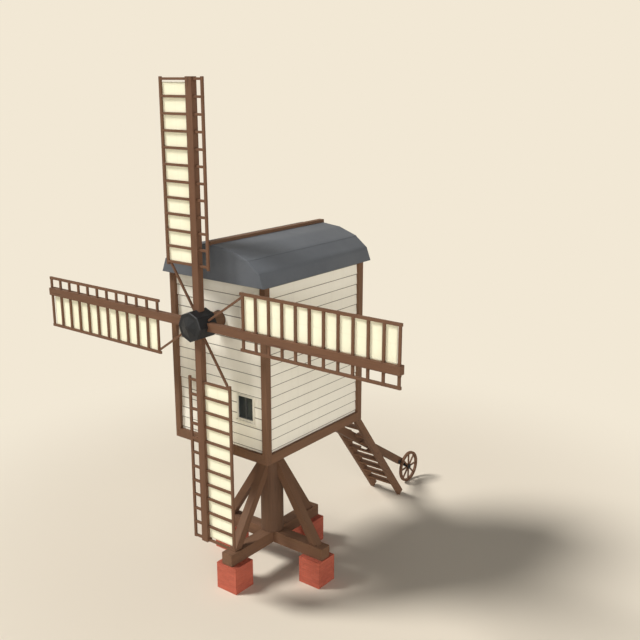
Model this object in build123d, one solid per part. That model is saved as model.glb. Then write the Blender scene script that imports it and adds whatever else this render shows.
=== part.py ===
from build123d import *
import os
from math import atan2, cos, degrees, hypot, pi, radians, sin, tan

# An open-trestle post mill: a boarded body, the buck, that turns on one great post, with four
# common sails in front and a ladder, a tail pole and a ground wheel behind.
# Millimetres, +Z up. The sails face -Y. All shapes are drawn about the axis of the main post,
# at ground level, and moved once at the end so that the origin is the middle of the footprint.

# Clearances
REST_GAP = 0.3          # flat faces of two bodies that bear on each other
PIN_GAP = 0.05          # radial play of a pin or journal in its bore
POST_CLEARANCE = 25     # floor and collar timbers round the main post

# Brick piers
PIER_SIDE = 860
PIER_HEIGHT = 950
PIER_REACH = 1965       # pier centre from the post axis

# Trestle
CROSSTREE_WIDTH = 430
CROSSTREE_HEIGHT = 420
CROSSTREE_SETBACK = 45  # timber end inside the outer face of its pier
POST_DIAMETER = 790
PINTLE_DIAMETER = 200
PINTLE_HEIGHT = 180
BAR_SIDE = 280          # quarterbar section
BAR_REACH = 1930        # quarterbar axis on top of the crosstree
BAR_HEAD_DROP = 795     # where the quarterbar axes meet, below the buck

# Buck
BODY_WIDTH = 4000
BODY_LENGTH = 5000
BODY_BOTTOM = 5150
BODY_HEIGHT = 5620      # underside of the sills to the eaves
CORNER_SIDE = 210
SILL_HEIGHT = 300
WALL_RECESS = 130       # wall framing behind the faces of the corner posts
FLOOR_THICKNESS = 50
SHEER_WIDTH = 250
CROWN_WIDTH = 450
CROWN_HEIGHT = 500
CROWN_RISE = 2450       # top of the main post above the bottom of the buck

# Roof
ROOF_FACETS = 8
ROOF_RISE = 1080
ROOF_THICKNESS = 80
ROOF_SIDE_OVERHANG = 110
ROOF_FRONT_OVERHANG = 180
ROOF_REAR_OVERHANG = 260
EAVES_BOARD = 40
ROOF_END_THICKNESS = 60
RIDGE_WIDTH = 200
RIDGE_HEIGHT = 100
RIDGE_OVERHANG = 70

# Window in the front wall, door in the rear wall
WINDOW_WIDTH = 606
WINDOW_HEIGHT = 732
WINDOW_INSET = 748      # middle of the window from the corner post
WINDOW_RISE = 1279      # lower edge of the opening above the bottom of the buck
WINDOW_CASING = 45
WINDOW_PROUD = 40       # casing in front of the wall framing
SASH_DEPTH = 40
SASH_STILE = 32
GLASS_THICKNESS = 6
DOOR_WIDTH = 800
DOOR_HEIGHT = 1750
DOOR_CASING = 50
DOOR_THICKNESS = 45

# Windshaft and hub
SHAFT_DROP = 1280       # axis below the eaves
SHAFT_DIAMETER = 500
SHAFT_HOLE_CLEARANCE = 20
TAIL_JOURNAL_DIAMETER = 180
TAIL_JOURNAL_LENGTH = 340
SHAFT_BEAM_DEPTH = 300
TAIL_BEAM_SETBACK = 500 # front face of the tail beam from the rear wall framing
SHAFT_BEAM_HEIGHT = 350
SHAFT_SHOULDER_GAP = 30 # shoulder of the shaft before the tail beam
SADDLE_SHOULDER = 70    # bearing block beside and below the journal
HUB_DIAMETER = 940      # across the corners of the octagon
HUB_LENGTH = 725
HUB_CHAMFER = 22
HUB_NOSE_REACH = 1155   # flat front of the hub before the front of the buck
HUB_CAP_BASE = 340      # eight-sided cap on the front, from its axis to its corners
HUB_CAP_TIP = 60        # the same at the tip of the cap
HUB_CAP_RISE = 100

# Sails
STOCK_WIDTH = 250
STOCK_DEPTH = 210
STOCK_SETBACK = 325     # front face of the stocks behind the front of the hub
STOCK_HORN = 65         # stock past the middle of its last bar
SAIL_BARS = 12
SAIL_BAR_WIDTH = 74
SAIL_BAR_DEPTH = 60
SAIL_RAIL_WIDTH = 86
BAR_FORWARD = 25        # middle of the bars in front of the middle of the stock
SAIL_HEEL = 1808        # first bar from the shaft axis
SAIL_TIP = 7149         # last bar from the shaft axis
SAIL_WIDE = 1209        # outer rail of the clothed side from the stock axis
SAIL_NARROW = 473       # rail of the open side from the stock axis
SAIL_HORN = 45          # bars and rails past their last joint
BRACE_SIDE = 60
BRACE_ROOT = 127        # where the brace's axis would leave the stock's axis
BRACE_TOP_DROP = 70     # brace meets the heel bar this far inside the outer rail
BRACE_SET_BACK = 25     # brace axis behind the bars
CLOTH_THICKNESS = 12
CLOTH_TIP_GAP = 90      # cloth short of the tip bar

# Landing and ladder
LANDING_DEPTH = 640
LANDING_BOARD = 50
JOIST_WIDTH = 80
JOIST_HEIGHT = 150
LADDER_WIDTH = 1440
STRINGER_THICKNESS = 150
STRINGER_DEPTH = 270
HEAD_PIN_REACH = 821    # pin of the ladder behind the buck
LADDER_SLOPE = 52.95
HEAD_PIN_DIAMETER = 50
TREAD_DEPTH = 290
TREAD_THICKNESS = 68
TREAD_LEAST = 60        # least board left beside the cut for the pole
TREAD_RISE = 450
TREAD_FIRST = 675       # top of the lowest tread above the ground
SIDE_PLAY = 6           # stringers beside the joists

# Tail pole and ground wheel
POLE_SIDE = 280
POLE_OVER_AXLE = 80     # pole's axis above the wheel axle, if it ran on to it
POLE_HEAD_RISE = 83     # pole's axis at its head above the bottom of the buck
POLE_HEAD_SETBACK = 540 # head of the pole from the rear wall framing
POLE_BEAM_DEPTH = 200
POLE_END_SHORT = 360    # pole end before the wheel axle
POLE_SLOT = 35          # treads clear of the pole
LIFT_ROOM = 100         # further room under the pole, for lifting the ladder
BRACKET_THICKNESS = 25
BRACKET_HEIGHT = 120
BRACKET_LAP = 420
AXLE_DIAMETER = 60
WHEEL_DIAMETER = 1310
WHEEL_AXLE_REACH = 6110 # axle behind the rear of the buck
WHEEL_RIM_WIDTH = 90
WHEEL_RIM_DEPTH = 110
WHEEL_SPOKES = 8
SPOKE_WIDTH = 58
SPOKE_DEPTH = 50
WHEEL_HUB_DIAMETER = 210
WHEEL_HUB_LENGTH = 120
WHEEL_SIDE_GAP = 20     # hub beside the bracket
AXLE_NUT = 25
AXLE_COLLAR = 18        # collar and nut round the axle

# Derived levels and places
crosstree_top = PIER_HEIGHT + CROSSTREE_HEIGHT
post_radius = POST_DIAMETER / 2
half_width = BODY_WIDTH / 2
half_length = BODY_LENGTH / 2
inner_x = half_width - CORNER_SIDE
inner_y = half_length - CORNER_SIDE
sill_top = BODY_BOTTOM + SILL_HEIGHT
floor_top = sill_top + FLOOR_THICKNESS
eaves = BODY_BOTTOM + BODY_HEIGHT
crown_level = BODY_BOTTOM + CROWN_RISE
bar_rise = BODY_BOTTOM - BAR_HEAD_DROP - crosstree_top
window_x = inner_x - WINDOW_INSET
window_sill_level = BODY_BOTTOM + WINDOW_RISE
shaft_level = eaves - SHAFT_DROP
roof_front = -half_length - ROOF_FRONT_OVERHANG
roof_rear = half_length + ROOF_REAR_OVERHANG
shaft_radius = SHAFT_DIAMETER / 2
hub_nose_y = -half_length - HUB_NOSE_REACH
hub_back = hub_nose_y + HUB_LENGTH
hub_tip_y = hub_nose_y - HUB_CAP_RISE
stock_front_y = hub_nose_y + STOCK_SETBACK
stock_reach = SAIL_TIP + STOCK_HORN
tail_beam_y = inner_y - TAIL_BEAM_SETBACK
wheel_axle_y = half_length + WHEEL_AXLE_REACH
pole_head_y = inner_y - POLE_HEAD_SETBACK
stock_y = stock_front_y + STOCK_DEPTH / 2
bar_y = stock_y - BAR_FORWARD
wheel_radius = WHEEL_DIAMETER / 2
pole_drop = BODY_BOTTOM + POLE_HEAD_RISE - wheel_radius - POLE_OVER_AXLE
pole_slope = atan2(pole_drop, wheel_axle_y - pole_head_y)
ladder_slope = radians(LADDER_SLOPE)
wheel_x = POLE_SIDE / 2 + BRACKET_THICKNESS + WHEEL_SIDE_GAP + WHEEL_HUB_LENGTH / 2
footprint_middle_y = (hub_tip_y + wheel_axle_y + wheel_radius) / 2


def block(x0, x1, y0, y1, z0, z1):
    """A squared timber or slab between two corners."""
    centre = Pos((x0 + x1) / 2, (y0 + y1) / 2, (z0 + z1) / 2)
    return centre * Box(x1 - x0, y1 - y0, z1 - z0)


def rod(radius, start, end):
    """A round bar between two points."""
    axis = Vector(*end) - Vector(*start)
    plane = Plane(origin=start, z_dir=axis)
    return extrude(plane * Circle(radius), axis.length)


def together(solids):
    """Solids of one sub-part that do not touch."""
    return Compound(list(solids))


def save(name, shape):
    """Write the solids of one sub-part, each moved to the shared origin."""
    placed = [Pos(0, -footprint_middle_y, 0) * solid for solid in shape.solids()]
    export_step(placed[0] if len(placed) == 1 else Compound(placed), "parts/" + name + ".step")


# ---------------------------------------------------------------- trestle

def pier(turn):
    half = PIER_SIDE / 2
    return Rot(0, 0, turn) * block(PIER_REACH - half, PIER_REACH + half, -half, half, 0, PIER_HEIGHT)


def crosstree(turn, keeps_top):
    """One foot timber, halved over the other at the middle."""
    half = CROSSTREE_WIDTH / 2
    reach = PIER_REACH + PIER_SIDE / 2 - CROSSTREE_SETBACK
    middle = PIER_HEIGHT + CROSSTREE_HEIGHT / 2
    timber = block(-reach, reach, -half, half, PIER_HEIGHT, crosstree_top)
    low, high = (PIER_HEIGHT, middle) if keeps_top else (middle, crosstree_top)
    return Rot(0, 0, turn) * (timber - block(-half, half, -half, half, low, high))


def main_post():
    shaft = rod(post_radius, (0, 0, crosstree_top), (0, 0, crown_level))
    return shaft + rod(PINTLE_DIAMETER / 2, (0, 0, crown_level), (0, 0, crown_level + PINTLE_HEIGHT))


def quarterbar(turn):
    """A raking strut from a crosstree end to the post, cut to the faces that it meets."""
    slope = degrees(atan2(bar_rise, BAR_REACH))
    length = 2 * hypot(bar_rise, BAR_REACH)
    raked = Pos(BAR_REACH, 0, crosstree_top) * Rot(0, slope - 180, 0) * Box(length, BAR_SIDE, BAR_SIDE)
    above = block(0, 2 * BAR_REACH, -BAR_SIDE, BAR_SIDE, crosstree_top, crosstree_top + bar_rise * 2)
    bar = (raked & above) - rod(post_radius + PIN_GAP, (0, 0, 0), (0, 0, crown_level))
    return Rot(0, 0, turn) * bar


# ---------------------------------------------------------------- buck frame

def corner_posts():
    return together(block(x - CORNER_SIDE / 2, x + CORNER_SIDE / 2, y - CORNER_SIDE / 2,
                          y + CORNER_SIDE / 2, BODY_BOTTOM, eaves)
                    for x in (-half_width + CORNER_SIDE / 2, half_width - CORNER_SIDE / 2)
                    for y in (-half_length + CORNER_SIDE / 2, half_length - CORNER_SIDE / 2))


def sills():
    long_sill = block(inner_x, half_width, -inner_y, inner_y, BODY_BOTTOM, sill_top)
    end_sill = block(-inner_x, inner_x, inner_y, half_length, BODY_BOTTOM, sill_top)
    return together([long_sill, Rot(0, 0, 180) * long_sill, end_sill, Rot(0, 0, 180) * end_sill])


def sheers():
    """Two timbers fore and aft beside the post, under the floor."""
    inside = post_radius + POST_CLEARANCE
    sheer = block(inside, inside + SHEER_WIDTH, -inner_y, inner_y, BODY_BOTTOM, sill_top)
    return together([sheer, Rot(0, 0, 180) * sheer])


def pole_beam():
    """Cross timber between the sheers that holds the head of the tail pole."""
    reach = post_radius + POST_CLEARANCE
    return block(-reach, reach, pole_head_y - POLE_BEAM_DEPTH, pole_head_y, BODY_BOTTOM, sill_top)


def floor():
    boards = block(-inner_x, inner_x, -inner_y, inner_y, sill_top, floor_top)
    return boards - rod(post_radius + POST_CLEARANCE, (0, 0, sill_top), (0, 0, floor_top))


def crown_tree():
    """The beam across the top of the post that carries the whole buck."""
    base = crown_level + REST_GAP
    beam = block(-inner_x, inner_x, -CROWN_WIDTH / 2, CROWN_WIDTH / 2, base, base + CROWN_HEIGHT)
    socket_top = crown_level + PINTLE_HEIGHT + REST_GAP
    return beam - rod(PINTLE_DIAMETER / 2 + PIN_GAP, (0, 0, crown_level), (0, 0, socket_top))


# ---------------------------------------------------------------- walls, window, door

def side_wall(turn):
    wall = block(inner_x, half_width - WALL_RECESS, -inner_y, inner_y, sill_top, eaves)
    return Rot(0, 0, turn) * wall


def window_box(margin, y0, y1):
    half = WINDOW_WIDTH / 2 + margin
    low = window_sill_level - margin
    high = window_sill_level + WINDOW_HEIGHT + margin
    return block(window_x - half, window_x + half, y0, y1, low, high)


def front_wall():
    outside = -half_length + WALL_RECESS
    wall = block(-inner_x, inner_x, outside, -inner_y, sill_top, eaves)
    hole = rod(shaft_radius + SHAFT_HOLE_CLEARANCE, (0, outside, shaft_level), (0, -inner_y, shaft_level))
    return wall - window_box(WINDOW_CASING, outside, -inner_y) - hole


def window_casing():
    outside = -half_length + WALL_RECESS - WINDOW_PROUD
    return window_box(WINDOW_CASING, outside, -inner_y) - window_box(0, outside, -inner_y)


def window_leaves():
    """Left and right lights inside the casing, with glazing openings."""
    front = -half_length + WALL_RECESS
    leaf = (WINDOW_WIDTH - 2 * SASH_STILE - 2 * SASH_STILE) / 2
    low = window_sill_level + SASH_STILE
    high = window_sill_level + WINDOW_HEIGHT - SASH_STILE
    return [(window_x + side * (SASH_STILE + leaf / 2) - leaf / 2,
             window_x + side * (SASH_STILE + leaf / 2) + leaf / 2, front, low, high)
            for side in (-1, 1)]


def window_sashes():
    front = -half_length + WALL_RECESS
    frame = window_box(0, front, front + SASH_DEPTH)
    for x0, x1, y0, z0, z1 in window_leaves():
        frame -= block(x0, x1, y0, y0 + SASH_DEPTH, z0, z1)
    return frame


def window_glass():
    middle = (SASH_DEPTH - GLASS_THICKNESS) / 2
    return together(block(x0, x1, y0 + middle, y0 + middle + GLASS_THICKNESS, z0, z1)
                    for x0, x1, y0, z0, z1 in window_leaves())


def door_box(margin, y0, y1, low):
    half = DOOR_WIDTH / 2 + margin
    return block(-half, half, y0, y1, low, floor_top + DOOR_HEIGHT + margin)


def rear_wall():
    outside = half_length - WALL_RECESS
    wall = block(-inner_x, inner_x, inner_y, outside, sill_top, eaves)
    return wall - door_box(DOOR_CASING, inner_y, outside, sill_top)


def door_casing():
    outside = half_length - WALL_RECESS + WINDOW_PROUD
    return door_box(DOOR_CASING, inner_y, outside, sill_top) - door_box(0, inner_y, outside, floor_top)


def rear_door():
    outside = half_length - WALL_RECESS
    return door_box(0, outside - DOOR_THICKNESS, outside, floor_top)


# ---------------------------------------------------------------- roof

def barrel(inset, y0, y1):
    """Solid half barrel of flat facets, standing on the eaves."""
    across = half_width + ROOF_SIDE_OVERHANG - inset
    rise = ROOF_RISE - inset
    steps = [pi * i / ROOF_FACETS for i in range(ROOF_FACETS + 1)]
    outline = Polyline([(across * cos(t), rise * sin(t)) for t in steps], close=True)
    end = Plane(origin=(0, y1, eaves), x_dir=(1, 0, 0), z_dir=(0, -1, 0))
    return extrude(end * make_face(outline), y1 - y0)


def roof():
    """Curved roof shell with a flat eaves board along each side, on posts and walls."""
    shell = barrel(0, roof_front, roof_rear) - barrel(ROOF_THICKNESS, roof_front, roof_rear)
    slab = block(-BODY_WIDTH, BODY_WIDTH, roof_front, roof_rear, eaves, eaves + EAVES_BOARD)
    slab -= block(-inner_x, inner_x, roof_front, roof_rear, eaves, eaves + EAVES_BOARD)
    return shell + (slab & barrel(0, roof_front, roof_rear))


def roof_end(front):
    """Flat closed end of the barrel, with the soffit back to the wall."""
    face = roof_front if front else roof_rear
    inward = 1 if front else -1
    wall = -inner_y if front else inner_y
    panel = barrel(0, *sorted((face, face + inward * ROOF_END_THICKNESS)))
    soffit = block(-inner_x, inner_x, *sorted((face, wall)), eaves, eaves + EAVES_BOARD)
    return panel + soffit - roof()


def ridge_beam():
    crown = eaves + ROOF_RISE
    beam = block(-RIDGE_WIDTH / 2, RIDGE_WIDTH / 2, roof_front - RIDGE_OVERHANG,
                 roof_rear + RIDGE_OVERHANG, crown - RIDGE_HEIGHT, crown + RIDGE_HEIGHT)
    return beam - barrel(0, roof_front - RIDGE_OVERHANG, roof_rear + RIDGE_OVERHANG)


# ---------------------------------------------------------------- windshaft and sails

def shaft_beam(y0, journal_radius):
    """Cross beam with a raised saddle, bored for the lower half of a journal."""
    y1 = y0 + SHAFT_BEAM_DEPTH
    saddle_base = shaft_level - journal_radius - SADDLE_SHOULDER
    reach = journal_radius + SADDLE_SHOULDER
    beam = block(-inner_x, inner_x, y0, y1, saddle_base - SHAFT_BEAM_HEIGHT, saddle_base)
    beam += block(-reach, reach, y0, y1, saddle_base, shaft_level)
    return beam - rod(journal_radius + PIN_GAP, (0, y0, shaft_level), (0, y1, shaft_level))


def windshaft():
    """Round shaft behind the hub, with a smaller journal at its tail."""
    shoulder = tail_beam_y - SHAFT_SHOULDER_GAP
    shaft = rod(shaft_radius, (0, hub_back, shaft_level), (0, shoulder, shaft_level))
    end = shoulder + TAIL_JOURNAL_LENGTH
    return shaft + rod(TAIL_JOURNAL_DIAMETER / 2, (0, shoulder, shaft_level), (0, end, shaft_level))


def on_shaft(shape):
    return Pos(0, 0, shaft_level) * shape


def stock(upright):
    """One stock, mortised for the sail bars and halved over the other inside the hub."""
    half = STOCK_WIDTH / 2
    back = stock_front_y + STOCK_DEPTH
    timber = block(-half, half, stock_front_y, back, -stock_reach, stock_reach)
    near, far = (stock_front_y, stock_y) if upright else (stock_y, back)
    timber -= block(-half, half, near, far, -half, half)
    for turn in (0, 180):
        timber -= [Rot(0, turn, 0) * bar for bar in sail_bars()]
    return on_shaft(Rot(0, 0 if upright else 90, 0) * timber)


def hub_prism():
    face = Plane(origin=(0, hub_back, 0), x_dir=(1, 0, 0), z_dir=(0, -1, 0))
    prism = extrude(face * RegularPolygon(HUB_DIAMETER / 2, 8), HUB_LENGTH)
    prism = chamfer(prism.faces().sort_by(Axis.Y)[0].edges(), HUB_CHAMFER)
    front = Plane(origin=(0, hub_nose_y, 0), x_dir=(1, 0, 0), z_dir=(0, -1, 0))
    cap = loft([front * RegularPolygon(HUB_CAP_BASE, 8),
                front.offset(HUB_CAP_RISE) * RegularPolygon(HUB_CAP_TIP, 8)])
    return prism + cap


def hub():
    """Octagonal iron hub with a mortise for each stock."""
    half = STOCK_WIDTH / 2
    mortise = block(-half, half, stock_front_y, stock_front_y + STOCK_DEPTH, -HUB_DIAMETER, HUB_DIAMETER)
    return hub_prism() - mortise - Rot(0, 90, 0) * mortise


def in_bar_plane(x0, x1, z0, z1):
    return block(x0, x1, bar_y - SAIL_BAR_DEPTH / 2, bar_y + SAIL_BAR_DEPTH / 2, z0, z1)


def sail_bars():
    """The bars of one upright sail, which run through the stock."""
    pitch = (SAIL_TIP - SAIL_HEEL) / (SAIL_BARS - 1)
    levels = [SAIL_HEEL + i * pitch for i in range(SAIL_BARS)]
    return [in_bar_plane(-SAIL_WIDE - SAIL_HORN, SAIL_NARROW + SAIL_HORN,
                         z - SAIL_BAR_WIDTH / 2, z + SAIL_BAR_WIDTH / 2) for z in levels]


def sail_rail(x):
    return in_bar_plane(x - SAIL_RAIL_WIDTH / 2, x + SAIL_RAIL_WIDTH / 2,
                        SAIL_HEEL - SAIL_HORN, SAIL_TIP + SAIL_HORN)


def sail_brace():
    """Raking bar from the hub to the heel bar, close to the outer rail."""
    across, up = SAIL_WIDE - BRACE_TOP_DROP, SAIL_HEEL - BRACE_ROOT
    length = hypot(across, up) + BRACE_SIDE
    bar = Pos(0, bar_y + BRACE_SET_BACK, length / 2) * Box(BRACE_SIDE, BRACE_SIDE, length)
    raked = Pos(0, 0, BRACE_ROOT) * Rot(0, -degrees(atan2(across, up)), 0) * bar
    below_heel = block(-SAIL_WIDE, 0, hub_back - HUB_LENGTH, hub_back + HUB_LENGTH, 0, SAIL_HEEL)
    return (raked & below_heel) - hub_prism()


def sail_frame(turn):
    """Lattice of one sail: bars and both rails joined flush, and the brace to the hub."""
    frame = sail_rail(-SAIL_WIDE) + sail_rail(SAIL_NARROW) + sail_bars() + sail_brace()
    return on_shaft(Rot(0, turn, 0) * frame)


def sail_cloth(turn):
    """Cloth spread behind the bars of the wide side, from the stock to the outer rail."""
    back = bar_y + SAIL_BAR_DEPTH / 2 + REST_GAP
    cloth = block(-SAIL_WIDE, -STOCK_WIDTH / 2 - REST_GAP, back, back + CLOTH_THICKNESS,
                  SAIL_HEEL, SAIL_TIP - CLOTH_TIP_GAP)
    return on_shaft(Rot(0, turn, 0) * cloth)


# ---------------------------------------------------------------- landing and ladder

def along_ladder(level):
    """Distance up the ladder, along its middle line, to a level."""
    return (level - STRINGER_DEPTH / 2 * cos(ladder_slope)) / sin(ladder_slope)


head_pin_y = half_length + HEAD_PIN_REACH
head_pin_z = sill_top - JOIST_HEIGHT / 2
head_pin_along = along_ladder(head_pin_z)
ladder_foot_y = head_pin_y + head_pin_along * cos(ladder_slope) - STRINGER_DEPTH / 2 * sin(ladder_slope)
stringer_inside = LADDER_WIDTH / 2 - STRINGER_THICKNESS


def ladder_point(along, out):
    """Y and Z of a point up the ladder from its foot, and out from its underside."""
    return (ladder_foot_y - along * cos(ladder_slope) + out * sin(ladder_slope),
            along * sin(ladder_slope) + out * cos(ladder_slope))


def rear_landing():
    """Boarded landing on two joists, whose ends carry the pin of the ladder."""
    deck_edge = half_length + LANDING_DEPTH
    deck = block(-LADDER_WIDTH / 2, LADDER_WIDTH / 2, half_length, deck_edge, sill_top,
                 sill_top + LANDING_BOARD)
    outer = stringer_inside - SIDE_PLAY
    landing = deck
    for side in (-1, 1):
        x0, x1 = sorted((side * outer, side * (outer - JOIST_WIDTH)))
        landing += block(x0, x1, half_length, head_pin_y, sill_top - JOIST_HEIGHT, sill_top)
        landing += rod(JOIST_HEIGHT / 2, (x0, head_pin_y, head_pin_z), (x1, head_pin_y, head_pin_z))
    reach = LADDER_WIDTH / 2 + SIDE_PLAY
    return landing + rod(HEAD_PIN_DIAMETER / 2, (-reach, head_pin_y, head_pin_z),
                         (reach, head_pin_y, head_pin_z))


def stringer(side):
    """Plank side of the ladder, square at the foot and rounded about the head pin."""
    x0, x1 = sorted((side * stringer_inside, side * LADDER_WIDTH / 2))
    corners = [ladder_point(0, 0), ladder_point(head_pin_along, 0),
               ladder_point(head_pin_along, STRINGER_DEPTH), ladder_point(0, STRINGER_DEPTH)]
    face = Plane.YZ.offset(x0) * make_face(Polyline(corners, close=True))
    plank = extrude(face, x1 - x0)
    start, end = (x0, head_pin_y, head_pin_z), (x1, head_pin_y, head_pin_z)
    return plank + rod(STRINGER_DEPTH / 2, start, end) - rod(HEAD_PIN_DIAMETER / 2 + PIN_GAP, start, end)


def ladder_stringers():
    return together([stringer(-1), stringer(1)])


def tread_place(i):
    """Y of the middle of a tread and its lower and upper levels."""
    top = TREAD_FIRST + i * TREAD_RISE
    along = along_ladder(top - TREAD_THICKNESS / 2)
    return ladder_point(along, STRINGER_DEPTH / 2)[0], top - TREAD_THICKNESS, top


def beside_tread(low, high):
    """Stretch of Y where the tail pole is close to a tread, at rest or with the ladder lifted."""
    room = POLE_SIDE / 2 / cos(pole_slope) + POLE_SLOT
    return along_pole(high + room + LIFT_ROOM), along_pole(low - room)


def tread(i):
    """One level tread, cut away where it would meet the tail pole."""
    y, low, high = tread_place(i)
    front, back = y - TREAD_DEPTH / 2, y + TREAD_DEPTH / 2
    board = block(-stringer_inside, stringer_inside, front, back, low, high)
    start, end = beside_tread(low, high)
    if start > back - REST_GAP or end < front + REST_GAP:
        return board
    start = start if start - front > TREAD_LEAST else front
    end = end if back - end > TREAD_LEAST else back
    slot = POLE_SIDE / 2 + POLE_SLOT
    return board - block(-slot, slot, start, end, low, high)


def ladder_treads():
    """Treads between the stringers."""
    count = int((sill_top - TREAD_FIRST) / TREAD_RISE) + 1
    return together(solid for i in range(count) for solid in tread(i).solids())


# ---------------------------------------------------------------- tail pole and wheel

def along_pole(level):
    """Y where the pole's axis is at a level."""
    return wheel_axle_y - (level - wheel_radius - POLE_OVER_AXLE) / tan(pole_slope)


def beside_pole(x0, x1, start, end, low, high):
    """A bar parallel to the pole, measured up the slope and square to it from the wheel axle."""
    up_slope = (0, -cos(pole_slope), sin(pole_slope))
    frame = Plane(origin=(0, wheel_axle_y, wheel_radius), x_dir=up_slope, z_dir=(-1, 0, 0))
    return frame.location * block(start, end, low, high, -x1, -x0)


def tail_pole():
    length = (wheel_axle_y - pole_head_y) / cos(pole_slope) + POLE_SIDE
    half = POLE_SIDE / 2
    rise = POLE_OVER_AXLE * cos(pole_slope)
    pole = beside_pole(-half, half, POLE_END_SHORT, length, rise - half, rise + half)
    behind_beam = block(-POLE_SIDE, POLE_SIDE, pole_head_y, wheel_axle_y, 0, eaves)
    return pole & behind_beam


def on_axle(radius, x0, x1):
    """A round bar along the axle of the ground wheel."""
    return rod(radius, (x0, wheel_axle_y, wheel_radius), (x1, wheel_axle_y, wheel_radius))


def wheel_bracket():
    """Iron strap on the side of the pole, with the stub axle and its nut."""
    x0 = POLE_SIDE / 2
    x1 = x0 + BRACKET_THICKNESS
    half = BRACKET_HEIGHT / 2
    strap = beside_pole(x0, x1, 0, POLE_END_SHORT + BRACKET_LAP, -half, half) + on_axle(half, x0, x1)
    nut_x = x1 + WHEEL_SIDE_GAP + WHEEL_HUB_LENGTH + REST_GAP
    collar = AXLE_DIAMETER / 2 + AXLE_COLLAR
    strap += on_axle(collar, x0, x1 + WHEEL_SIDE_GAP - REST_GAP)
    strap += on_axle(AXLE_DIAMETER / 2, x0, nut_x)
    return strap + on_axle(collar, nut_x, nut_x + AXLE_NUT)


def wheel_hub():
    bore = AXLE_DIAMETER / 2 + PIN_GAP
    x0, x1 = wheel_x - WHEEL_HUB_LENGTH / 2, wheel_x + WHEEL_HUB_LENGTH / 2
    return on_axle(WHEEL_HUB_DIAMETER / 2, x0, x1) - on_axle(bore, x0, x1)


def tail_wheel():
    """Wooden rim and spokes about the iron hub."""
    x0, x1 = wheel_x - WHEEL_RIM_WIDTH / 2, wheel_x + WHEEL_RIM_WIDTH / 2
    inside = wheel_radius - WHEEL_RIM_DEPTH
    wheel = on_axle(wheel_radius, x0, x1) - on_axle(inside, x0, x1)
    reach = inside + WHEEL_RIM_DEPTH / 2
    spoke = block(-SPOKE_DEPTH / 2, SPOKE_DEPTH / 2, -SPOKE_WIDTH / 2, SPOKE_WIDTH / 2, 0, reach)
    for i in range(WHEEL_SPOKES):
        wheel += Pos(wheel_x, wheel_axle_y, wheel_radius) * Rot(360 * i / WHEEL_SPOKES, 0, 0) * spoke
    return wheel - on_axle(WHEEL_HUB_DIAMETER / 2 + REST_GAP, x0, x1)


# ---------------------------------------------------------------- write the sub-parts

os.makedirs("parts", exist_ok=True)

for name, turn in (("right", 0), ("rear", 90), ("left", 180), ("front", 270)):
    save("pier_" + name, pier(turn))
    save("quarterbar_" + name, quarterbar(turn))
save("crosstree_across", crosstree(0, keeps_top=False))
save("crosstree_fore_and_aft", crosstree(90, keeps_top=True))
save("main_post", main_post())

save("corner_posts", corner_posts())
save("sills", sills())
save("sheers", sheers())
save("pole_beam", pole_beam())
save("floor", floor())
save("crown_tree", crown_tree())
save("right_wall", side_wall(0))
save("left_wall", side_wall(180))
save("front_wall", front_wall())
save("rear_wall", rear_wall())
save("window_casing", window_casing())
save("window_sashes", window_sashes())
save("window_glass", window_glass())
save("door_casing", door_casing())
save("rear_door", rear_door())
save("roof", roof())
save("roof_end_front", roof_end(front=True))
save("roof_end_rear", roof_end(front=False))
save("ridge_beam", ridge_beam())
save("weather_beam", shaft_beam(-inner_y, shaft_radius))
save("tail_beam", shaft_beam(tail_beam_y, TAIL_JOURNAL_DIAMETER / 2))

save("windshaft", windshaft())
save("hub", on_shaft(hub()))
save("stock_upright", stock(upright=True))
save("stock_level", stock(upright=False))
for name, turn in (("top", 0), ("right", 90), ("bottom", 180), ("left", 270)):
    save("sail_frame_" + name, sail_frame(turn))
    save("sail_cloth_" + name, sail_cloth(turn))

save("rear_landing", rear_landing())
save("ladder_stringers", ladder_stringers())
save("ladder_treads", ladder_treads())

save("tail_pole", tail_pole())
save("wheel_bracket", wheel_bracket())
save("wheel_hub", wheel_hub())
save("tail_wheel", tail_wheel())
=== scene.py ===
"""Looks of an open-trestle post mill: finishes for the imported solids, and the pieces laid over them."""
import random
from math import cos, pi, radians, sin

import bmesh
import bpy
from mathutils import Euler, Matrix, Vector


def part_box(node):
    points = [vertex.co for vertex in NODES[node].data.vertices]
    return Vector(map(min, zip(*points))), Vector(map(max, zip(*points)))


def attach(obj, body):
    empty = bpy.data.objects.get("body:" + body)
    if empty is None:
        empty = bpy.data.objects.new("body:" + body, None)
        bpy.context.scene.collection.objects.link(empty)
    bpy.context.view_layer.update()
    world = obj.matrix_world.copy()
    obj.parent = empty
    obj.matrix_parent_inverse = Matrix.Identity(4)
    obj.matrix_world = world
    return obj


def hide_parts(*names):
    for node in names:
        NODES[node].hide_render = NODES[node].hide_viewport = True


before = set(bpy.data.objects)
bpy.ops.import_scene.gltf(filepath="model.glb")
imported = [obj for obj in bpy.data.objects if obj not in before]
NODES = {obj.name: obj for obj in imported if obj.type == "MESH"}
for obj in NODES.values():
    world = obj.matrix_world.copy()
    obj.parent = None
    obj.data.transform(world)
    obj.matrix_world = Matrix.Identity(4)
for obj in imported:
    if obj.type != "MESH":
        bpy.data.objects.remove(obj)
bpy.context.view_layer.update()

# ---------------- driving sizes, in metres

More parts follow.
